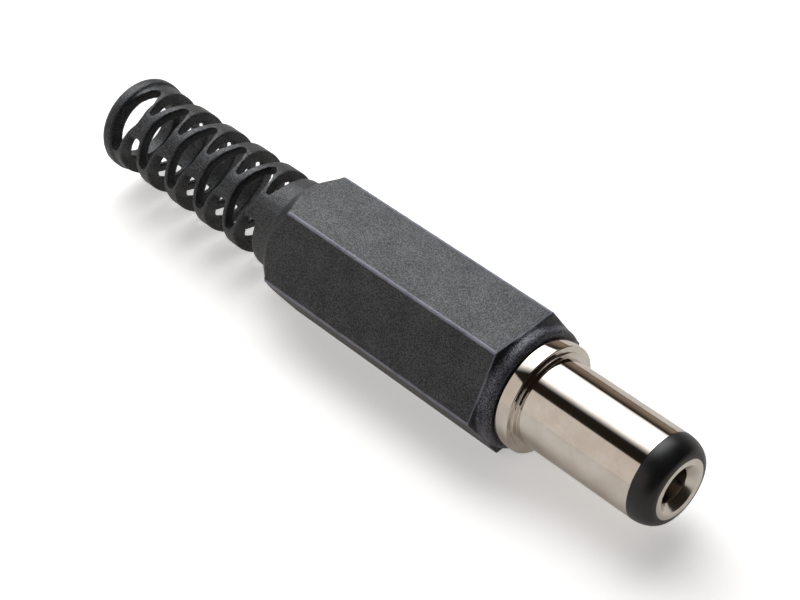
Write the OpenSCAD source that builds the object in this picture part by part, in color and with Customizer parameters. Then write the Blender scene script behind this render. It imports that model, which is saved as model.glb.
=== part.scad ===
// Inline DC power plug, 5.5 mm barrel with a 2.1 mm centre contact.
// A hexagonal moulded handle ends in a slotted bend relief.  The handle screws
// onto a nickel plated sleeve, which carries the insulator, the centre contact
// and the two solder tags.
//
// X is the plug axis with the tip at +X, Z is up, sizes in millimetres.
// The origin is on the axis in the front face of the flange, where the plug
// stops against a socket.

/* [Barrel] */

// Outside diameter of the barrel
barrel_d = 5.5; // [5.4:0.05:5.6]
// Length of the barrel from the flange face to the tip
barrel_len = 9.5; // [9:0.5:12]
// Bore of the barrel around the insulator
barrel_bore_d = 4.6; // [4.5:0.05:4.7]
// Length of the black nose in front of the metal tube
nose_len = 1.4; // [1.1:0.1:1.7]
// Flange diameter
flange_d = 6.9; // [6.6:0.1:7.2]
// Flange thickness
flange_t = 0.95; // [0.8:0.05:1.2]
// Diameter of the low step at the root of the barrel
step_d = 6.15; // [5.9:0.05:6.3]
// Height of the low step at the root of the barrel
step_h = 0.12; // [0.08:0.02:0.2]
// Diameter of the screw shank behind the flange, over the thread
shank_d = 5.9; // [5.8:0.05:6]
// Length of the screw shank behind the flange
shank_len = 4.6; // [4:0.2:6]

/* [Centre contact] */

// Bore of the centre contact
pin_bore_d = 2.1; // [2:0.05:2.2]
// Depth of the bore from the tip
pin_bore_len = 10.2; // [9.6:0.1:10.6]
// Diameter of the bright ring at the tip
mouth_ring_d = 3.84; // [3.7:0.02:3.9]
// Diameter of the funnel at the tip
funnel_d = 3.08; // [2.8:0.04:3.2]
// Depth of the funnel
funnel_len = 0.45; // [0.3:0.05:0.6]
// Length of the wide head behind the tip
head_len = 1.1; // [0.9:0.1:1.3]
// Outside diameter of the contact tube
contact_d = 3; // [2.9:0.05:3.1]
// Width of the two spring slits in the contact tube
slit_w = 0.3; // [0.2:0.05:0.4]
// Length of the two spring slits
slit_len = 5.4; // [4:0.2:6]

/* [Tags] */

// Thickness of the stamped solder tags
tag_t = 0.35; // [0.3:0.05:0.4]
// Width of the sleeve tag
sleeve_tag_w = 2.4; // [2:0.1:2.5]
// Length of the sleeve tag behind its ring
sleeve_tag_len = 10; // [9:0.2:10.4]
// Height of the cord clamp wings
wing_h = 2.6; // [2:0.1:2.8]
// Length of the cord clamp wings
wing_len = 2.8; // [2:0.1:3.2]
// Width of the centre tag
centre_tag_w = 1.5; // [1.3:0.1:1.7]
// Length of the centre tag behind its ring
centre_tag_len = 3.6; // [3:0.2:4.4]
// Diameter of the wire holes in the tags
wire_hole_d = 0.8; // [0.6:0.05:0.9]
// Thickness of the insulating washer
washer_t = 0.8; // [0.6:0.1:1]

/* [Handle] */

// Width of the hexagon across its flats
grip_af = 7.9; // [7.6:0.1:8.4]
// Length of the hexagon
grip_len = 17; // [15:0.5:19]
// Diameter of the round collar in front of the hexagon
collar_d = 7.7; // [7.5:0.05:7.8]
// Length of the round collar
collar_len = 0.85; // [0.6:0.05:1.2]
// Length of the cone behind the hexagon
shoulder_len = 0.8; // [0.6:0.1:1.2]
// Bore of the handle around the tags
cavity_d = 5.5; // [5.3:0.05:5.6]
// Length of the cone between that bore and the cord bore
cavity_cone_len = 2; // [1.6:0.2:2.4]
// Gap around the sleeve tag in that bore
tag_gap = 0.15; // [0.1:0.05:0.3]
// Depth of the threaded bore
thread_bore_len = 5.6; // [5:0.2:7]
// Added to the shank diameter for the threaded bore
thread_clearance = 0.1; // [0.08:0.02:0.16]
// Gap between the flange and the collar
seat_gap = 0.04; // [0.02:0.02:0.1]

/* [Bend relief] */

// Diameter of the ribs
relief_d = 6; // [5.8:0.1:6.2]
// Diameter of the end ring
relief_end_d = 6.3; // [6:0.1:6.5]
// Bore of the end ring for the cord
cord_bore_d = 4.2; // [4.1:0.05:4.2]
// Bore of the slotted length
relief_bore_d = 4.55; // [4.5:0.05:4.6]
// Plain length between the shoulder and the first slot
relief_root_len = 2.2; // [2:0.1:3]
// Distance from one rib to the next
rib_pitch = 1.4; // [1.35:0.05:1.5]
// Pairs of slots, one window and one notch each
slot_pairs = 5; // [4:1:6]
// Length of the end ring
relief_end_len = 1; // [0.8:0.1:1.4]
// Width of the web between two notches
mid_web_w = 1.7; // [1.4:0.1:1.9]
// Thickness of the web beside a window
side_web_t = 0.65; // [0.55:0.05:0.8]
// Turn of the slots past the upper edge of the hexagon, degrees
relief_turn = 7; // [0:1:10]

/* [Hidden] */

// Shared radii
barrel_r = barrel_d / 2;
barrel_bore_r = barrel_bore_d / 2;
flange_r = flange_d / 2;
shank_r = shank_d / 2;
contact_r = contact_d / 2;
pin_bore_r = pin_bore_d / 2;
mouth_ring_r = mouth_ring_d / 2;
cavity_r = cavity_d / 2;
relief_r = relief_d / 2;
relief_end_r = relief_end_d / 2;
cord_bore_r = cord_bore_d / 2;
relief_bore_r = relief_bore_d / 2;

// Overlap of the end ring with the last pair of slots
end_ring_lap = 0.25 * rib_pitch;

// Stations along the axis
tube_end_x = barrel_len - nose_len;
shank_end_x = -flange_t - shank_len;
grip_front_x = -flange_t - seat_gap - collar_len;
grip_back_x = grip_front_x - grip_len;
cavity_back_x = grip_back_x + cavity_cone_len;
root_x = grip_back_x - shoulder_len;
slot_x = root_x - relief_root_len;
end_ring_x = slot_x - 2 * rib_pitch * slot_pairs + end_ring_lap;
relief_back_x = end_ring_x - relief_end_len;

// Hexagon corner radius
grip_corner_r = grip_af / 2 / cos(30);
hex_sides = 6;
// Angle of the hexagon corner that the slots are turned from
corner_angle = 30;

// Rear stack: sleeve tag ring, washer, centre tag ring, rivet head
washer_x = shank_end_x - tag_t;
centre_ring_x = washer_x - washer_t;
rivet_x = centre_ring_x - tag_t;
rivet_head_t = 0.35;
rivet_head_r = 0.95;
rivet_r = 0.6;
tag_ring_r = cavity_r - tag_gap;
tag_ring_bore_r = 1.5;
washer_r = 1.9;
centre_ring_r = 1.45;
spigot_len = 0.9;

// Insulator
insulator_end_x = shank_end_x + 1.3;
nose_flat_gap = 0.02;
nose_lip_r = mouth_ring_r + 0.04;
nose_step = 9;
contact_back_x = insulator_end_x;

// Tags: the strip's lower corners lie just inside the ring's edge
tag_corner_r = tag_ring_r - 0.05;
tag_drop = sqrt(pow(tag_corner_r, 2) - pow(sleeve_tag_w / 2, 2)) - tag_t;
wing_t = tag_t;
centre_tag_z = 0.8;

// Collar and root shapes
collar_round = 0.3;
root_flare_r = relief_r + 0.35;
root_flare_len = 0.85;
crease_w = 0.18;
crease_depth = 0.14;
end_round = 0.35;
edge_round = 0.12;

// Slot outlines, measured rearward from the first slot
window_half_h = relief_r - side_web_t;
web_up = mid_web_w * 0.41;
web_down = mid_web_w * 0.59;
slot_reach = relief_r + 1;
eps = 0.01;

// Piece to draw

// Solid of revolution about the plug axis from points of [x, radius]
module turned(points) {
    rotate([0, 90, 0])
        rotate_extrude($fn = 96)
            polygon([for (p = points) [p[1], p[0]]]);
}

// Round bar along the plug axis between two stations
module bar(x_from, x_to, r) {
    translate([min(x_from, x_to), 0, 0])
        rotate([0, 90, 0])
            cylinder(r = r, h = abs(x_to - x_from), $fn = 96);
}

// Hexagonal bar lying on one of its flats
module hex_bar(x_from, x_to, corner_r) {
    translate([x_from, 0, 0])
        rotate([0, 90, 0])
            rotate([0, 0, corner_angle])
                cylinder(r = corner_r, h = x_to - x_from, $fn = hex_sides);
}

// Hexagonal grip whose rear end is turned to a cone
module grip() {
    intersection() {
        hex_bar(root_x, grip_front_x, grip_corner_r);
        turned([
            [root_x, 0],
            [root_x, root_flare_r],
            [grip_back_x, grip_corner_r + edge_round],
            [grip_front_x, grip_corner_r + edge_round],
            [grip_front_x, 0]
        ]);
    }
}

// Round collar that meets the flange of the sleeve
module collar() {
    turned([
        [grip_front_x - edge_round, 0],
        [grip_front_x - edge_round, collar_d / 2],
        [-flange_t - seat_gap - collar_round, collar_d / 2],
        [-flange_t - seat_gap - collar_round / 3, collar_d / 2 - collar_round / 3],
        [-flange_t - seat_gap, collar_d / 2 - collar_round],
        [-flange_t - seat_gap, 0]
    ]);
}

// Outside of the bend relief, from the shoulder to the rounded end ring
module relief_outside() {
    turned([
        [root_x + eps, 0],
        [root_x + eps, root_flare_r - crease_depth],
        [root_x - crease_w, root_flare_r - crease_depth],
        [root_x - crease_w - crease_depth, root_flare_r],
        [root_x - root_flare_len, relief_r + edge_round],
        [slot_x, relief_r],
        [end_ring_x, relief_r],
        [end_ring_x, relief_end_r - edge_round],
        [end_ring_x - edge_round, relief_end_r],
        [relief_back_x + end_round, relief_end_r],
        [relief_back_x + end_round / 3, relief_end_r - end_round / 3],
        [relief_back_x, relief_end_r - end_round],
        [relief_back_x, 0]
    ]);
}

// Outline of a closed window, through both walls
module window_outline() {
    polygon([
        [-rib_pitch * 0.62, window_half_h * 0.2],
        [-rib_pitch * 0.7, window_half_h * 0.66],
        [-rib_pitch * 1.05, window_half_h * 0.95],
        [-rib_pitch * 1.27, window_half_h],
        [-rib_pitch * 1.4, window_half_h * 0.93],
        [-rib_pitch * 1.57, window_half_h * 0.6],
        [-rib_pitch * 1.76, window_half_h * 0.1],
        [-rib_pitch * 1.76, -window_half_h * 0.9],
        [-rib_pitch * 1.68, -window_half_h],
        [-rib_pitch * 1.45, -window_half_h],
        [-rib_pitch * 1.2, -window_half_h * 0.82],
        [-rib_pitch * 0.9, -window_half_h * 0.4],
        [-rib_pitch * 0.62, -window_half_h * 0.08]
    ]);
}

// Outline of the pair of open notches that lies between two windows
module notch_outlines(first) {
    polygon([
        [-rib_pitch * 0.28, web_up],
        [-rib_pitch * 0.16, web_up],
        [first ? 0 : rib_pitch * 0.04, relief_r * 0.5],
        [first ? 0 : rib_pitch * 0.28, relief_r * 0.78],
        [first ? 0 : rib_pitch * 0.4, slot_reach],
        [-rib_pitch * 0.8, slot_reach],
        [-rib_pitch * 0.66, relief_r * 0.72],
        [-rib_pitch * 0.45, relief_r * 0.4]
    ]);
    polygon([
        [0, -web_down],
        [-rib_pitch * 0.7, -web_down],
        [-rib_pitch * 0.8, -relief_r * 0.46],
        [-rib_pitch * 0.98, -relief_r * 0.64],
        [-rib_pitch * 1.2, -relief_r * 0.8],
        [-rib_pitch * 1.4, -slot_reach],
        [0, -slot_reach]
    ]);
}

// All slots of the bend relief
module slots() {
    translate([slot_x, 0, 0])
        rotate([corner_angle + relief_turn, 0, 0])
            for (i = [0 : slot_pairs - 1])
                translate([-2 * rib_pitch * i, 0, -slot_reach])
                    linear_extrude(height = 2 * slot_reach) {
                        window_outline();
                        notch_outlines(i == 0);
                    }
}

// Handle: grip, collar and bend relief in one moulding
module handle() {
    color("#2c2c2e")
        difference() {
            union() {
                grip();
                collar();
                relief_outside();
            }
            // Threaded bore, drawn plain
            bar(-flange_t - seat_gap - thread_bore_len, 0,
                shank_r + thread_clearance / 2);
            // Room for the tags
            bar(cavity_back_x, 0, cavity_r);
            turned([
                [cavity_back_x + eps, 0],
                [cavity_back_x + eps, cavity_r],
                [grip_back_x, relief_bore_r],
                [grip_back_x, 0]
            ]);
            bar(end_ring_x, grip_back_x + eps, relief_bore_r);
            bar(relief_back_x - 1, end_ring_x + eps, cord_bore_r);
            slots();
        }
}

// Sleeve: barrel, flange and screw shank, turned from one bar
module sleeve() {
    color("#c9c4bc")
        difference() {
            union() {
                bar(0, tube_end_x, barrel_r);
                bar(0, step_h, step_d / 2);
                bar(-flange_t, 0, flange_r);
                bar(shank_end_x, -flange_t, shank_r);
            }
            bar(shank_end_x - 1, tube_end_x + 1, barrel_bore_r);
        }
}

// Insulator with the rounded black nose
module insulator() {
    color("#1c1c1e")
        difference() {
            union() {
                bar(insulator_end_x, tube_end_x + nose_flat_gap, barrel_bore_r);
                turned(concat(
                    [[tube_end_x, 0]],
                    [for (a = [0 : nose_step : 90])
                        [tube_end_x + (nose_len - nose_flat_gap) * sin(a),
                         nose_lip_r + (barrel_r - nose_lip_r) * cos(a)]],
                    [[barrel_len - nose_flat_gap, 0]]
                ));
            }
            bar(insulator_end_x - 1, barrel_len + 1, contact_r);
            bar(barrel_len - head_len, barrel_len + 1, mouth_ring_r);
        }
}

// Centre contact: headed tube with a rivet end
module centre_contact() {
    color("#cfc9bd")
        difference() {
            union() {
                bar(barrel_len - head_len, barrel_len, mouth_ring_r);
                bar(contact_back_x, barrel_len, contact_r);
                bar(rivet_x, contact_back_x, rivet_r);
                bar(rivet_x - rivet_head_t, rivet_x, rivet_head_r);
            }
            bar(barrel_len - pin_bore_len, barrel_len + 1, pin_bore_r);
            turned([
                [barrel_len + eps, 0],
                [barrel_len + eps, funnel_d / 2 + eps],
                [barrel_len - funnel_len, pin_bore_r],
                [barrel_len - funnel_len, 0]
            ]);
            translate([barrel_len - head_len - slit_len, -contact_r - 1, -slit_w / 2])
                cube([slit_len, contact_d + 2, slit_w]);
        }
}

// Insulating washer with a spigot in the sleeve
module rear_washer() {
    color("#b9a27a")
        difference() {
            union() {
                bar(centre_ring_x, washer_x, washer_r);
                bar(centre_ring_x, washer_x + spigot_len, tag_ring_bore_r);
            }
            bar(centre_ring_x - 1, washer_x + spigot_len + 1, rivet_r);
        }
}

// Sleeve tag: ring, strip with a wire hole, and the cord clamp wings
module sleeve_tag() {
    strip_x = washer_x - sleeve_tag_len;
    color("#cdc8c0") {
        difference() {
            union() {
                bar(washer_x, shank_end_x, tag_ring_r);
                translate([strip_x, -sleeve_tag_w / 2, -tag_drop - tag_t])
                    cube([sleeve_tag_len + tag_t, sleeve_tag_w, tag_t]);
            }
            bar(washer_x - 1, shank_end_x + 1, tag_ring_bore_r);
            translate([washer_x - centre_tag_len, 0, -tag_drop - tag_t - 1])
                cylinder(d = wire_hole_d * 1.5, h = tag_t + 2, $fn = 48);
        }
        for (side = [-1, 1])
            translate([strip_x, side * (sleeve_tag_w / 2 - wing_t / 2) - wing_t / 2,
                       -tag_drop - tag_t])
                cube([wing_len, wing_t, wing_h]);
    }
}

// Centre tag: ring and short strip with a wire hole
module centre_tag() {
    color("#cdc8c0")
        difference() {
            union() {
                bar(rivet_x, centre_ring_x, centre_ring_r);
                translate([rivet_x - centre_tag_len, -centre_tag_w / 2, centre_tag_z + tag_t])
                    cube([centre_tag_len + tag_t, centre_tag_w, tag_t]);
            }
            bar(rivet_x - 1, centre_ring_x + 1, rivet_r);
            translate([rivet_x - centre_tag_len + centre_tag_w / 2, 0, centre_tag_z])
                cylinder(d = wire_hole_d, h = tag_t * 3, $fn = 48);
        }
}

handle();
sleeve();
insulator();
centre_contact();
rear_washer();
sleeve_tag();
centre_tag();
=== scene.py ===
"""Looks of an inline DC barrel plug: moulded hexagonal handle, nickel plated barrel, black nose."""

import math

import bpy
from bpy.props import FloatProperty, PointerProperty, StringProperty
from mathutils import Matrix, Vector


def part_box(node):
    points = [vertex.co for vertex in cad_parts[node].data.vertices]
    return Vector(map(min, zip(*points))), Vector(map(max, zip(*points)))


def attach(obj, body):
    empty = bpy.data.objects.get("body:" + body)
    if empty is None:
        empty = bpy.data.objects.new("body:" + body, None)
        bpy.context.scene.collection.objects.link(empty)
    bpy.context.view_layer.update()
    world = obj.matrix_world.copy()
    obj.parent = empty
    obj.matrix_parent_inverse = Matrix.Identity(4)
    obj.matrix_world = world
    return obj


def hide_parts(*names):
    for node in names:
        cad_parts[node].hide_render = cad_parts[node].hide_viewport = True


bl_info = {
    "name": "DC Barrel Plug",
    "version": (1, 0, 0),
    "blender": (4, 5, 0),
    "location": "View3D > Sidebar > Barrel Plug",
    "description": "Builds the pieces, finishes and studio of an inline DC barrel plug",
    "category": "Object",
}

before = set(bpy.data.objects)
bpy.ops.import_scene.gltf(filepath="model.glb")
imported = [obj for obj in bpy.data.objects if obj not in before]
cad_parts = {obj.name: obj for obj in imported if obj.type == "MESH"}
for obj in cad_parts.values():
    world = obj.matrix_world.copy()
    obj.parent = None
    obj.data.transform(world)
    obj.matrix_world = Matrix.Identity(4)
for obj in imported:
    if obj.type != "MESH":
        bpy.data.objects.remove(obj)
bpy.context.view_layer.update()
MM = 0.001
MERGE_DISTANCE = 1e-6

# Rotation that lays a primitive's Z axis along the plug axis
ALONG_PLUG = (0, math.pi / 2, 0)


def station(node, end):
    """Position along the plug axis of a node's rear (0) or front (1) end, in mm."""
    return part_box(node)[end][0] / MM


FLOOR_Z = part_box("handle")[0][2]

# Barrel, nose and contact: mm along the plug axis and from it
BARREL_R = 2.75
SLEEVE_BORE = 2.3
CONTACT_R = 1.5
MOUTH_RING = 1.92
NOSE_LIP = 1.96
HEAD_LEN = 1.1
TUBE_END = station("sleeve", 1)
SHANK_END = station("sleeve", 0)
INSULATOR_BACK = station("insulator", 0)
NOSE_END = station("insulator", 1)
HEAD_BACK = station("centre_contact", 1) - HEAD_LEN
NOSE_STEP = 6

# Flange, the low step in front of it, and the core of the screw shank, mm
FLANGE_R = 3.45
FLANGE_BACK = -0.95
STEP_R = 3.075
STEP_FRONT = 0.12
SHANK_CORE = 2.62

# Sleeve profile: position, radius and how far the corner there is eased
SLEEVE_PROFILE = [
    (TUBE_END, SLEEVE_BORE, 0),
    (TUBE_END, BARREL_R, 0.05),
    (STEP_FRONT, BARREL_R, 0.03),
    (STEP_FRONT, STEP_R, 0.04),
    (0.0, STEP_R, 0.02),
    (0.0, FLANGE_R, 0.09),
    (FLANGE_BACK, FLANGE_R, 0.09),
    (FLANGE_BACK, SHANK_CORE, 0.03),
    (SHANK_END, SHANK_CORE, 0.12),
    (SHANK_END, SLEEVE_BORE, 0.02),
]
EASE_LIMIT = 0.45

# Screw thread on the shank, mm
THREAD_CREST = 2.94
THREAD_RIDGE = 0.36
THREAD_PITCH = 0.75
THREAD_TURNS = 5
THREAD_STEPS = 64
THREAD_BACK = SHANK_END + 0.35

# Hexagon: its front plane, the painted highlight band on its long edges and front rim, and the
# scuffed collar, mm
HEX_FRONT = -1.84
EDGE_HIGHLIGHT_START = 4.482
EDGE_HIGHLIGHT_FULL = 4.51
RIM_START = HEX_FRONT - 0.14
RIM_FULL = HEX_FRONT - 0.04
RIM_INNER = 3.89
RIM_OUTER = 3.93
SCUFF_RADIUS = 3.5
SCUFF_STRENGTH = 0.55

# Shoulder behind the hexagon, mm
HEX_CORNER = 4.55
SHOULDER_FRONT = -18.6
SHOULDER_BACK = -19.92
SHOULDER_BACK_R = 3.72
SHOULDER_BORE = 2.7

# Mesh finish: sides of a turned piece, bevel and shading angles, and the handle's remesh
LATHE_SIDES = 128
BORE_SIDES = 96
BEVEL_SEGMENTS = 3
LEVEL_ANGLE = math.radians(0.5)
STAMPED_ANGLE = math.radians(30)
SHARP_ANGLE = math.radians(35)
THREAD_ANGLE = math.radians(40)
REMESH_SCALE = 10
SMOOTH_PASSES = 3
HANDLE_TRIANGLES = 185000

# Direction in which the barrel's side mirrors: its part along -X and its part across the plug
MIRROR_X = 0.546
MIRROR_R = 0.838
CARD_CENTRE = (-0.01, 0, 0)
CARD_DISTANCE = 0.40

FLOOR_SIZE = 1.6
ROOM_COLOUR = "#6b5d52"
ROOM_LEVEL = 0.12

CAMERA_PLACE = (0.05419, -0.05966, 0.08200)
CAMERA_RIGHT = (0.69175, 0.72140, -0.03317)
CAMERA_DOWN = (0.47260, -0.48697, -0.73454)
CAMERA_FORWARD = (-0.54603, 0.49243, -0.67777)
CAMERA_SENSOR = 36
CAMERA_CLIP = (0.01, 5)


# ---------------------------------------------------------------- small tools


def linear(hex_colour):
    """sRGB hex to the linear RGBA that shader sockets take."""
    parts = [int(hex_colour[i : i + 2], 16) / 255 for i in (1, 3, 5)]
    return [c / 12.92 if c <= 0.04045 else ((c + 0.055) / 1.055) ** 2.4 for c in parts] + [1]


def add_node(tree, kind, settings=None, inputs=None):
    """Adds a shader node with its properties and sockets; a value that is a socket is linked."""
    node = tree.nodes.new(kind)
    for key, value in (settings or {}).items():
        setattr(node, key, value)
    for key, value in (inputs or {}).items():
        if isinstance(value, bpy.types.NodeSocket):
            tree.links.new(value, node.inputs[key])
        else:
            node.inputs[key].default_value = value
    return node


def new_material(name):
    """An empty node material and its output node, or a finished one with no tree."""
    material = bpy.data.materials.get(name)
    if material:
        return material, None, None
    material = bpy.data.materials.new(name)
    material.use_nodes = True
    tree = material.node_tree
    tree.nodes.clear()
    return material, tree, add_node(tree, "ShaderNodeOutputMaterial")


def dress(obj, material):
    """Gives a whole piece one material."""
    obj.data.materials.clear()
    obj.data.materials.append(material)


def pick(*objects):
    """Selects only these objects, the last one active."""
    bpy.ops.object.select_all(action="DESELECT")
    for obj in objects:
        obj.select_set(True)
    bpy.context.view_layer.objects.active = objects[-1]


def settle():
    """Moves the selected objects' place, turn and size into their meshes."""
    bpy.ops.object.transform_apply(location=True, rotation=True, scale=True)


def resize_about_origin(factor):
    """Scales the selected objects about the origin, into their meshes."""
    bpy.ops.transform.resize(value=(factor,) * 3, center_override=(0, 0, 0))
    settle()


def apply_modifier(obj, kind, **settings):
    """Adds a modifier with these settings and applies it."""
    pick(obj)
    modifier = obj.modifiers.new(kind.title(), kind)
    for key, value in settings.items():
        setattr(modifier, key, value)
    bpy.ops.object.modifier_apply(modifier=modifier.name)


def tidy_mesh(obj):
    """Merges doubled vertices and turns every face outward."""
    pick(obj)
    bpy.ops.object.mode_set(mode="EDIT")
    bpy.ops.mesh.select_all(action="SELECT")
    bpy.ops.mesh.remove_doubles(threshold=MERGE_DISTANCE)
    bpy.ops.mesh.normals_make_consistent(inside=False)
    bpy.ops.object.mode_set(mode="OBJECT")


def cad_copy(node, name):
    """A merged copy of a carried-over node, standing free at the origin."""
    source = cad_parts[node]
    obj = source.copy()
    obj.data = source.data.copy()
    obj.name = obj.data.name = name
    bpy.context.scene.collection.objects.link(obj)
    obj.parent = None
    obj.matrix_world = source.matrix_world
    obj.hide_render = False
    pick(obj)
    settle()
    tidy_mesh(obj)
    return obj


def softened_copy(node, name, width):
    """A copy of a node whose sharp edges are broken by a small bevel."""
    obj = cad_copy(node, name)
    bpy.ops.object.mode_set(mode="EDIT")
    bpy.ops.mesh.select_all(action="SELECT")
    bpy.ops.mesh.dissolve_limited(angle_limit=LEVEL_ANGLE)
    bpy.ops.object.mode_set(mode="OBJECT")
    apply_modifier(
        obj,
        "BEVEL",
        width=width,
        segments=BEVEL_SEGMENTS,
        limit_method="ANGLE",
        angle_limit=SHARP_ANGLE,
        harden_normals=False,
    )
    apply_modifier(obj, "TRIANGULATE")
    tidy_mesh(obj)
    pick(obj)
    bpy.ops.object.shade_smooth_by_angle(angle=STAMPED_ANGLE)
    return obj


def eased(profile, steps=4):
    """Points of a closed profile whose corners are small curves, each of its own reach."""
    points = []
    for i, (x, r, ease) in enumerate(profile):
        if not ease:
            points.append((x, r))
            continue
        corner = Vector((x, r))
        ends = []
        for other in (profile[i - 1], profile[(i + 1) % len(profile)]):
            side = Vector(other[:2]) - corner
            ends.append(corner + side.normalized() * min(ease, side.length * EASE_LIMIT))
        for k in range(steps + 1):
            t = k / steps
            point = ends[0] * (1 - t) ** 2 + corner * 2 * t * (1 - t) + ends[1] * t**2
            points.append(tuple(point))
    return points


def lathe(name, points):
    """Turned piece: a circle drawn out along the plug axis through a closed profile in mm."""
    loop = points + points[:1]
    bpy.ops.object.select_all(action="DESELECT")
    bpy.ops.mesh.primitive_circle_add(
        vertices=LATHE_SIDES,
        radius=loop[0][1] * MM,
        location=(loop[0][0] * MM, 0, 0),
        rotation=ALONG_PLUG,
    )
    obj = bpy.context.object
    obj.name = obj.data.name = name
    settle()
    bpy.ops.object.mode_set(mode="EDIT")
    bpy.ops.mesh.select_all(action="SELECT")
    for (x0, r0), (x1, r1) in zip(loop, loop[1:]):
        step = {"value": ((x1 - x0) * MM, 0, 0)}
        bpy.ops.mesh.extrude_region_move(TRANSFORM_OT_translate=step)
        widen = r1 / r0
        bpy.ops.transform.resize(value=(1, widen, widen), center_override=(x1 * MM, 0, 0))
    bpy.ops.object.mode_set(mode="OBJECT")
    tidy_mesh(obj)
    bpy.ops.object.shade_smooth_by_angle(angle=SHARP_ANGLE)
    return obj


def enter(obj, body, node):
    """Puts a finished piece on its body in place of its node."""
    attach(obj, body)
    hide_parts(node)


# ------------------------------------------------------------------ materials


def spark_textured_plastic(look):
    """Black ABS from a spark-eroded mould: matt, with a fine light and dark grain."""
    material, tree, out = new_material("ABS_spark_textured_black")
    if tree is None:
        return material
    place = add_node(tree, "ShaderNodeTexCoord").outputs["Object"]
    grain = add_node(
        tree,
        "ShaderNodeTexNoise",
        {},
        {"Vector": place, "Scale": 1 / look.grain_size, "Detail": 1.0, "Roughness": 0.6},
    )
    blotch = add_node(
        tree,
        "ShaderNodeTexNoise",
        {},
        {"Vector": place, "Scale": 1 / look.blotch_size, "Detail": 3.0, "Roughness": 0.6},
    )
    mixed = add_node(
        tree,
        "ShaderNodeMix",
        {"data_type": "FLOAT"},
        {"Factor": 0.2, "A": grain.outputs["Fac"], "B": blotch.outputs["Fac"]},
    ).outputs["Result"]
    grain_low, grain_high = 0.42, 0.62
    tone = add_node(tree, "ShaderNodeValToRGB", {}, {"Fac": mixed})
    tone.color_ramp.elements[0].position = grain_low
    tone.color_ramp.elements[0].color = linear(look.plastic_dark)
    tone.color_ramp.elements[1].position = grain_high
    tone.color_ramp.elements[1].color = linear(look.plastic_light)
    # The high spots of the grain catch more of the light than the hollows
    speck = add_node(
        tree,
        "ShaderNodeMapRange",
        {},
        {
            "Value": mixed,
            "From Min": grain_low,
            "From Max": grain_high,
            "To Min": 0.26,
            "To Max": 0.68,
        },
    )

    # A painted highlight: the long edges of the hexagon and its front rim are coloured pale, in
    # patches, where light catches them;
    # the collar is scuffed pale where the plug is pushed home
    across = add_node(
        tree, "ShaderNodeVectorMath", {"operation": "MULTIPLY"}, {0: place, 1: (0, 1, 1)}
    )
    radius = add_node(
        tree, "ShaderNodeVectorMath", {"operation": "LENGTH"}, {0: across.outputs[0]}
    ).outputs["Value"]
    axial = add_node(tree, "ShaderNodeSeparateXYZ", {}, {0: place}).outputs["X"]
    normal = add_node(tree, "ShaderNodeNewGeometry").outputs["Normal"]
    facing = add_node(tree, "ShaderNodeSeparateXYZ", {}, {0: normal}).outputs["X"]
    masks = {}
    for name, value, low, high, at_low, at_high in (
        ("long_edge", radius, EDGE_HIGHLIGHT_START * MM, EDGE_HIGHLIGHT_FULL * MM, 0, 1),
        ("near_front", axial, RIM_START * MM, RIM_FULL * MM, 0, 1),
        ("outside", radius, RIM_INNER * MM, RIM_OUTER * MM, 0, 1),
        ("sideways", facing, 0.5, 0.9, 1, 0),
        ("patches", blotch.outputs["Fac"], 0.2, 0.5, 0, 1),
        ("ahead", axial, HEX_FRONT * MM, (HEX_FRONT + 0.06) * MM, 0, 1),
        ("collar", radius, SCUFF_RADIUS * MM, (SCUFF_RADIUS + 0.1) * MM, 0, 1),
        ("speckles", mixed, 0.40, 0.6, 0, 1),
    ):
        masks[name] = add_node(
            tree,
            "ShaderNodeMapRange",
            {"interpolation_type": "SMOOTHSTEP"},
            {
                "Value": value,
                "From Min": low,
                "From Max": high,
                "To Min": at_low,
                "To Max": at_high,
            },
        ).outputs["Result"]
    for name, operation, first, second in (
        ("side_rim", "MULTIPLY", "outside", "sideways"),
        ("rim", "MULTIPLY", "near_front", "side_rim"),
        # Painted highlight on the long edges and the front rim, broken into patches
        ("edges", "MAXIMUM", "long_edge", "rim"),
        ("highlit", "MULTIPLY", "edges", "patches"),
        ("collar_front", "MULTIPLY", "ahead", "collar"),
        ("scuffs", "MULTIPLY", "collar_front", "speckles"),
        ("faint_scuffs", "MULTIPLY", "scuffs", SCUFF_STRENGTH),
        ("highlight_and_scuffs", "MAXIMUM", "highlit", "faint_scuffs"),
    ):
        masks[name] = add_node(
            tree,
            "ShaderNodeMath",
            {"operation": operation},
            {0: masks[first], 1: masks.get(second, second)},
        ).outputs[0]
    # Lays the painted edge highlight and the real collar scuffs over the grain colour
    tone_with_highlight_and_scuffs = add_node(
        tree,
        "ShaderNodeMix",
        {"data_type": "RGBA"},
        {"Factor": masks["highlight_and_scuffs"], "A": tone.outputs["Color"], "B": linear(look.edge_highlight_colour)},
    )

    bump = add_node(
        tree,
        "ShaderNodeBump",
        {},
        {"Height": grain.outputs["Fac"], "Strength": 0.9, "Distance": 0.03 * MM},
    )
    shader = add_node(
        tree,
        "ShaderNodeBsdfPrincipled",
        {},
        {
            "Base Color": tone_with_highlight_and_scuffs.outputs["Result"],
            "Normal": bump.outputs["Normal"],
            "Roughness": 0.42,
            "IOR": 1.6,
            "Specular IOR Level": speck.outputs["Result"],
            "Specular Tint": (0.94, 0.97, 1.0, 1),
        },
    )
    tree.links.new(shader.outputs[0], out.inputs["Surface"])
    return material


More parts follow.
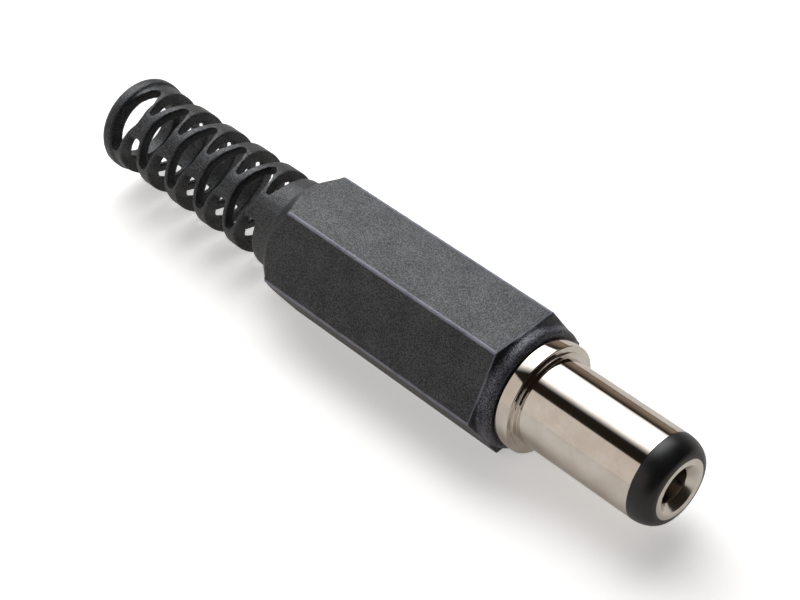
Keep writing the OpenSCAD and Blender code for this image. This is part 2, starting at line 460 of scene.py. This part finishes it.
def nickel(look, name, roughness):
    """Nickel plate on turned or stamped brass: a mirror with a warm, faintly clouded cast."""
    material, tree, out = new_material(name)
    if tree is None:
        return material
    place = add_node(tree, "ShaderNodeTexCoord").outputs["Object"]
    cloud = add_node(
        tree,
        "ShaderNodeTexNoise",
        {},
        {"Vector": place, "Scale": 1 / (2.0 * MM), "Detail": 4.0, "Roughness": 0.6},
    )
    tone = add_node(tree, "ShaderNodeValToRGB", {}, {"Fac": cloud.outputs["Fac"]})
    tone.color_ramp.elements[0].position = 0.35
    tone.color_ramp.elements[0].color = linear(look.nickel_warm)
    tone.color_ramp.elements[1].position = 0.7
    tone.color_ramp.elements[1].color = linear(look.nickel_light)
    shader = add_node(
        tree,
        "ShaderNodeBsdfPrincipled",
        {},
        {"Base Color": tone.outputs["Color"], "Metallic": 1.0, "Roughness": roughness},
    )
    tree.links.new(shader.outputs[0], out.inputs["Surface"])
    return material


def polished_nickel(look):
    """The turned sleeve's plate, which mirrors sharply."""
    return nickel(look, "Nickel_plate_polished", 0.08)


def satin_nickel(look):
    """The contact's and the tags' plate, which mirrors softly."""
    return nickel(look, "Nickel_plate_satin", 0.2)


def nose_plastic(look):
    """Black polyacetal, turned or moulded smooth: a soft broad sheen."""
    material, tree, out = new_material("Acetal_smooth_black")
    if tree is None:
        return material
    place = add_node(tree, "ShaderNodeTexCoord").outputs["Object"]
    cloud = add_node(
        tree,
        "ShaderNodeTexNoise",
        {},
        {"Vector": place, "Scale": 1 / (0.8 * MM), "Detail": 4.0, "Roughness": 0.6},
    )
    rough = add_node(
        tree,
        "ShaderNodeMapRange",
        {},
        {
            "Value": cloud.outputs["Fac"],
            "From Min": 0.3,
            "From Max": 0.7,
            "To Min": 0.28,
            "To Max": 0.4,
        },
    )
    shader = add_node(
        tree,
        "ShaderNodeBsdfPrincipled",
        {},
        {
            "Base Color": linear(look.nose_colour),
            "Roughness": rough.outputs["Result"],
            "IOR": 1.48,
        },
    )
    tree.links.new(shader.outputs[0], out.inputs["Surface"])
    return material


def paper_board(look):
    """Phenolic paper washer, punched: brown, matt, faintly mottled."""
    material, tree, out = new_material("Phenolic_board_brown")
    if tree is None:
        return material
    place = add_node(tree, "ShaderNodeTexCoord").outputs["Object"]
    fibre = add_node(
        tree,
        "ShaderNodeTexNoise",
        {},
        {"Vector": place, "Scale": 1 / (0.3 * MM), "Detail": 4.0, "Roughness": 0.7},
    )
    tone = add_node(tree, "ShaderNodeValToRGB", {}, {"Fac": fibre.outputs["Fac"]})
    tone.color_ramp.elements[0].color = linear(look.board_dark)
    tone.color_ramp.elements[1].color = linear(look.board_light)
    shader = add_node(
        tree,
        "ShaderNodeBsdfPrincipled",
        {},
        {"Base Color": tone.outputs["Color"], "Roughness": 0.7},
    )
    tree.links.new(shader.outputs[0], out.inputs["Surface"])
    return material


# ----------------------------------------------------------------- properties


class PlugLook(bpy.types.PropertyGroup):
    """Colours and finish sizes of the plug."""

    plastic_dark: StringProperty(
        name="Plastic, dark grain",
        description="Darker colour of the moulded grain",
        default="#111317",
    )
    plastic_light: StringProperty(
        name="Plastic, light grain",
        description="Lighter colour of the moulded grain",
        default="#2a2d32",
    )
    # Painted highlight: the pale colour laid on the hexagon's long edges and front rim
    edge_highlight_colour: StringProperty(
        name="Highlit edge",
        description="Colour of the rubbed outer edges",
        default="#7c7d8e",
    )
    nose_colour: StringProperty(
        name="Nose",
        description="Colour of the smooth nose",
        default="#1a1b1e",
    )
    nickel_warm: StringProperty(
        name="Nickel, warm",
        description="Warmer tone of the nickel plate",
        default="#d0c6bd",
    )
    nickel_light: StringProperty(
        name="Nickel, light",
        description="Lighter tone of the nickel plate",
        default="#e0dbd4",
    )
    board_dark: StringProperty(
        name="Board, dark",
        description="Darker colour of the washer's fibre",
        default="#6b4a26",
    )
    board_light: StringProperty(
        name="Board, light",
        description="Lighter colour of the washer's fibre",
        default="#a9824f",
    )
    edge_cell: FloatProperty(
        name="Edge cell",
        description="Cell size that rounds the moulded edges",
        default=0.085 * MM,
        unit="LENGTH",
        subtype="DISTANCE",
        precision=6,
    )
    grain_size: FloatProperty(
        name="Grain",
        description="Width of one grain of the mould texture",
        default=0.075 * MM,
        unit="LENGTH",
        subtype="DISTANCE",
        precision=6,
    )
    blotch_size: FloatProperty(
        name="Blotch",
        description="Width of one lighter or darker patch of the plastic",
        default=1.6 * MM,
        unit="LENGTH",
        subtype="DISTANCE",
        precision=6,
    )


class PlugStudio(bpy.types.PropertyGroup):
    """Camera and light."""

    over_glow: FloatProperty(
        name="Overhead glow",
        description="Brightness of the overhead softbox",
        default=4.2,
        min=0,
    )
    front_glow: FloatProperty(
        name="Front glow",
        description="Brightness of the front card",
        default=0.86,
        min=0,
    )
    back_glow: FloatProperty(
        name="Back glow",
        description="Brightness of the dim card behind the plug",
        default=0.4,
        min=0,
    )
    floor_fill: FloatProperty(
        name="Floor fill",
        description="Brightness added to the floor as the plug mirrors it",
        default=0.24,
        min=0,
    )
    floor_lift: FloatProperty(
        name="Floor lift",
        description="Brightness added to the seen floor",
        default=0.4,
        min=0,
    )
    lens: FloatProperty(
        name="Lens",
        description="Focal length on a 36 mm wide sensor",
        default=92.94,
        min=20,
        max=300,
    )


# ------------------------------------------------------------------ operators


class PLUG_OT_frame_finish(bpy.types.Operator):
    """Give the carried-over pieces their finishes"""

    bl_idname = "plug.frame_finish"
    bl_label = "Finish CAD pieces"

    def execute(self, context):
        look = context.scene.plug_look
        for node, finish in (
            ("handle", spark_textured_plastic),
            ("sleeve", polished_nickel),
            ("centre_contact", satin_nickel),
            ("insulator", nose_plastic),
            ("rear_washer", paper_board),
            ("sleeve_tag", satin_nickel),
            ("centre_tag", satin_nickel),
        ):
            dress(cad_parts[node], finish(look))
        return {"FINISHED"}


class PLUG_OT_handle(bpy.types.Operator):
    """Model the moulded handle with softly rounded edges"""

    bl_idname = "plug.handle"
    bl_label = "Handle"

    def execute(self, context):
        look = context.scene.plug_look
        handle = cad_copy("handle", "handle_moulding")
        pick(self.shoulder(context), handle)
        bpy.ops.object.join()

        # The remesh works at ten times size, because its smallest cell is 0.1 mm
        resize_about_origin(REMESH_SCALE)
        apply_modifier(
            handle,
            "REMESH",
            mode="VOXEL",
            voxel_size=look.edge_cell * REMESH_SCALE,
            use_smooth_shade=True,
        )
        apply_modifier(handle, "SMOOTH", factor=0.5, iterations=SMOOTH_PASSES)
        triangles = 2 * len(handle.data.polygons)
        apply_modifier(handle, "DECIMATE", ratio=min(1, HANDLE_TRIANGLES / triangles))
        resize_about_origin(1 / REMESH_SCALE)
        bpy.ops.object.shade_smooth()
        handle.name = handle.data.name = "handle_moulding"
        dress(handle, spark_textured_plastic(look))
        enter(handle, "handle_body", "handle")
        return {"FINISHED"}

    def shoulder(self, context):
        """Ring behind the hexagon, turned to a cone, that the remesh fuses with the moulding."""
        depth = (SHOULDER_FRONT - SHOULDER_BACK) * MM
        place = {
            "location": ((SHOULDER_FRONT + SHOULDER_BACK) / 2 * MM, 0, 0),
            "rotation": ALONG_PLUG,
        }
        bpy.ops.mesh.primitive_cylinder_add(
            vertices=6, radius=HEX_CORNER * MM, depth=depth, **place
        )
        ring = context.object
        bpy.ops.mesh.primitive_cone_add(
            vertices=LATHE_SIDES,
            radius1=SHOULDER_BACK_R * MM,
            radius2=(HEX_CORNER + 0.1) * MM,
            depth=depth * 1.001,
            **place,
        )
        cone = context.object
        bpy.ops.mesh.primitive_cylinder_add(
            vertices=BORE_SIDES, radius=SHOULDER_BORE * MM, depth=depth * 3, **place
        )
        bore = context.object
        for operation, cutter in (("INTERSECT", cone), ("DIFFERENCE", bore)):
            apply_modifier(ring, "BOOLEAN", operation=operation, object=cutter, solver="EXACT")
        pick(cone, bore)
        bpy.ops.object.delete()
        return ring


class PLUG_OT_sleeve(bpy.types.Operator):
    """Turn the plated sleeve with its flange and screw thread"""

    bl_idname = "plug.sleeve"
    bl_label = "Sleeve"

    def execute(self, context):
        look = context.scene.plug_look
        sleeve = lathe("sleeve_turned", eased(SLEEVE_PROFILE))
        bpy.ops.object.select_all(action="DESELECT")
        bpy.ops.mesh.primitive_circle_add(
            vertices=3, radius=THREAD_RIDGE * MM, location=(0, 0, 0)
        )
        thread = context.object
        rise = (THREAD_CREST - THREAD_RIDGE) * MM
        bpy.ops.transform.translate(value=(THREAD_BACK * MM, rise, 0))
        settle()
        apply_modifier(
            thread,
            "SCREW",
            axis="X",
            screw_offset=THREAD_PITCH * MM,
            iterations=THREAD_TURNS,
            steps=THREAD_STEPS,
            render_steps=THREAD_STEPS,
            use_merge_vertices=False,
        )
        bpy.ops.object.mode_set(mode="EDIT")
        bpy.ops.mesh.select_all(action="SELECT")
        bpy.ops.mesh.fill_holes(sides=3)
        bpy.ops.object.mode_set(mode="OBJECT")
        tidy_mesh(thread)
        bpy.ops.object.shade_smooth_by_angle(angle=THREAD_ANGLE)
        pick(thread, sleeve)
        bpy.ops.object.join()
        dress(sleeve, polished_nickel(look))
        enter(sleeve, "plug_insert", "sleeve")
        return {"FINISHED"}


class PLUG_OT_insulator(bpy.types.Operator):
    """Turn the insulator with its rounded black nose"""

    bl_idname = "plug.insulator"
    bl_label = "Insulator"

    def execute(self, context):
        look = context.scene.plug_look
        reach, drop = NOSE_END - TUBE_END, BARREL_R - NOSE_LIP
        profile = [
            (INSULATOR_BACK, CONTACT_R),
            (INSULATOR_BACK, SLEEVE_BORE),
            (TUBE_END, SLEEVE_BORE),
        ]
        for a in range(0, 91, NOSE_STEP):
            turn = math.radians(a)
            profile.append(
                (TUBE_END + reach * math.sin(turn), NOSE_LIP + drop * math.cos(turn))
            )
        profile += [(NOSE_END, MOUTH_RING), (HEAD_BACK, MOUTH_RING), (HEAD_BACK, CONTACT_R)]
        insulator = lathe("insulator_nose", profile)
        dress(insulator, nose_plastic(look))
        enter(insulator, "plug_insert", "insulator")
        return {"FINISHED"}


class PLUG_OT_contacts(bpy.types.Operator):
    """Break the sharp edges of the contact, the washer and the two tags"""

    bl_idname = "plug.contacts"
    bl_label = "Contact, washer and tags"

    def execute(self, context):
        look = context.scene.plug_look
        for node, name, width, finish, slot in (
            ("centre_contact", "centre_contact_headed", 0.05, satin_nickel, "contact_plate"),
            ("rear_washer", "rear_washer_punched", 0.04, paper_board, "washer_board"),
            ("sleeve_tag", "sleeve_tag_stamped", 0.05, satin_nickel, "tag_plate"),
            ("centre_tag", "centre_tag_stamped", 0.05, satin_nickel, "tag_plate"),
        ):
            piece = softened_copy(node, name, width * MM)
            dress(piece, finish(look))
            enter(piece, "plug_insert", node)
        return {"FINISHED"}


class PLUG_OT_studio(bpy.types.Operator):
    """Make the floor, the room, the glowing cards and the camera"""

    bl_idname = "plug.studio"
    bl_label = "Studio"

    def execute(self, context):
        scene = context.scene
        studio = scene.plug_studio
        scene.view_settings.view_transform = "Standard"
        self.floor(context, studio)
        self.room(scene)
        for name, lean, size, glow, tint, fades in (
            ("card_over", -24, (0.62, 0.66), studio.over_glow, "#ffffff", (0.2, 0.48)),
            ("card_front", 74, (1.0, 0.58), studio.front_glow, "#ece4dc", (0.15, 0.04)),
            ("card_back", -84, (1.0, 0.40), studio.back_glow, "#d8c2ae", (0.2, 0.45)),
        ):
            card = self.card(context, name, lean, size)
            dress(card, self.card_glow(name, glow, tint, fades))
        self.camera(scene, studio)
        return {"FINISHED"}

    def floor(self, context, studio):
        """White paper under the plug, brighter where it is seen than where it is mirrored."""
        bpy.ops.object.select_all(action="DESELECT")
        bpy.ops.mesh.primitive_plane_add(size=FLOOR_SIZE, location=(0, 0, FLOOR_Z))
        floor = context.object
        floor.name = "studio_floor"
        material, tree, out = new_material("Studio_paper_white")
        mirrored = (0.55, 0.545, 0.53, 1), linear("#f4ece4"), studio.floor_fill
        seen = (0.95, 0.95, 0.95, 1), (1, 1, 1, 1), studio.floor_lift
        papers = []
        for paper, tint, strength in (mirrored, seen):
            matt = add_node(tree, "ShaderNodeBsdfDiffuse", {}, {"Color": paper})
            glow = add_node(
                tree, "ShaderNodeEmission", {}, {"Color": tint, "Strength": strength}
            )
            both = add_node(
                tree, "ShaderNodeAddShader", {}, {0: matt.outputs[0], 1: glow.outputs[0]}
            )
            papers.append(both.outputs[0])
        straight = add_node(tree, "ShaderNodeLightPath").outputs["Is Camera Ray"]
        mix = add_node(
            tree, "ShaderNodeMixShader", {}, {0: straight, 1: papers[0], 2: papers[1]}
        )
        tree.links.new(mix.outputs[0], out.inputs["Surface"])
        dress(floor, material)
        settle()

    def room(self, scene):
        """A dim brown room that shows only in reflections, behind a white backdrop."""
        world = bpy.data.worlds.new("Studio_world")
        scene.world = world
        world.use_nodes = True
        tree = world.node_tree
        tree.nodes.clear()
        room, white = (
            add_node(tree, "ShaderNodeBackground", {}, {"Color": colour, "Strength": level})
            for colour, level in ((linear(ROOM_COLOUR), ROOM_LEVEL), ((1, 1, 1, 1), 1.0))
        )
        straight = add_node(tree, "ShaderNodeLightPath").outputs["Is Camera Ray"]
        mix = add_node(
            tree,
            "ShaderNodeMixShader",
            {},
            {0: straight, 1: room.outputs[0], 2: white.outputs[0]},
        )
        add_node(tree, "ShaderNodeOutputWorld", {}, {"Surface": mix.outputs[0]})

    def card(self, context, name, lean, size):
        """A card that the side of the barrel mirrors.

        Lean is its angle in that mirror, from straight up towards -Y, in degrees, and size is
        along and across the plug.
        """
        a = math.radians(lean)
        way = Vector((-MIRROR_X, -MIRROR_R * math.sin(a), MIRROR_R * math.cos(a))).normalized()
        along = (Vector((1, 0, 0)) - way * way.x).normalized()
        turn = Matrix((along * size[0], way.cross(along) * size[1], way)).transposed()
        bpy.ops.object.select_all(action="DESELECT")
        bpy.ops.mesh.primitive_plane_add(size=1)
        card = context.object
        card.name = name
        place = Matrix.Translation(Vector(CARD_CENTRE) + way * CARD_DISTANCE)
        card.matrix_world = place @ turn.to_4x4()
        settle()
        return card

    def card_glow(self, name, glow, tint, fades):
        """Light that fades towards the card's edges, over these shares of its sides."""
        material, tree, out = new_material("Studio_" + name)
        place = add_node(tree, "ShaderNodeTexCoord").outputs["UV"]
        parts = add_node(tree, "ShaderNodeSeparateXYZ", {}, {0: place})
        level = glow
        for axis, fade in zip("XY", fades):
            inward = add_node(
                tree,
                "ShaderNodeMath",
                {"operation": "PINGPONG"},
                {0: parts.outputs[axis], 1: 0.5},
            )
            ramp = add_node(
                tree,
                "ShaderNodeMapRange",
                {"interpolation_type": "SMOOTHSTEP"},
                {
                    "Value": inward.outputs[0],
                    "From Min": 0.0,
                    "From Max": fade,
                    "To Min": 0.0,
                    "To Max": 1.0,
                },
            )
            level = add_node(
                tree,
                "ShaderNodeMath",
                {"operation": "MULTIPLY"},
                {0: level, 1: ramp.outputs["Result"]},
            ).outputs[0]
        shine = add_node(
            tree, "ShaderNodeEmission", {}, {"Color": linear(tint), "Strength": level}
        )
        tree.links.new(shine.outputs[0], out.inputs["Surface"])
        return material

    def camera(self, scene, studio):
        """Camera above the nose, looking back along the plug."""
        camera = bpy.data.cameras.new("plug_camera")
        camera.lens = studio.lens
        camera.sensor_width = CAMERA_SENSOR
        camera.clip_start, camera.clip_end = CAMERA_CLIP
        obj = bpy.data.objects.new("plug_camera", camera)
        scene.collection.objects.link(obj)
        axes = Vector(CAMERA_RIGHT), -Vector(CAMERA_DOWN), -Vector(CAMERA_FORWARD)
        turn = Matrix(axes).transposed()
        obj.matrix_world = Matrix.Translation(Vector(CAMERA_PLACE)) @ turn.to_4x4()
        scene.camera = obj


# --------------------------------------------------------- panel and start-up


PIECE_BUILDERS = [
    PLUG_OT_frame_finish,
    PLUG_OT_handle,
    PLUG_OT_sleeve,
    PLUG_OT_insulator,
    PLUG_OT_contacts,
    PLUG_OT_studio,
]


class PLUG_PT_panel(bpy.types.Panel):
    """Builders of the plug"""

    bl_idname = "PLUG_PT_panel"
    bl_label = "Barrel Plug"
    bl_space_type = "VIEW_3D"
    bl_region_type = "UI"
    bl_category = "Barrel Plug"

    def draw(self, context):
        for builder in PIECE_BUILDERS:
            self.layout.operator(builder.bl_idname)


CLASSES = [PlugLook, PlugStudio, *PIECE_BUILDERS, PLUG_PT_panel]


def register():
    for cls in CLASSES:
        bpy.utils.register_class(cls)
    bpy.types.Scene.plug_look = PointerProperty(type=PlugLook)
    bpy.types.Scene.plug_studio = PointerProperty(type=PlugStudio)


def unregister():
    del bpy.types.Scene.plug_studio
    del bpy.types.Scene.plug_look
    for cls in reversed(CLASSES):
        bpy.utils.unregister_class(cls)


def main():
    register()
    bpy.ops.plug.frame_finish()
    bpy.ops.plug.handle()
    bpy.ops.plug.sleeve()
    bpy.ops.plug.insulator()
    bpy.ops.plug.contacts()
    bpy.ops.plug.studio()


if __name__ == "__main__":
    main()
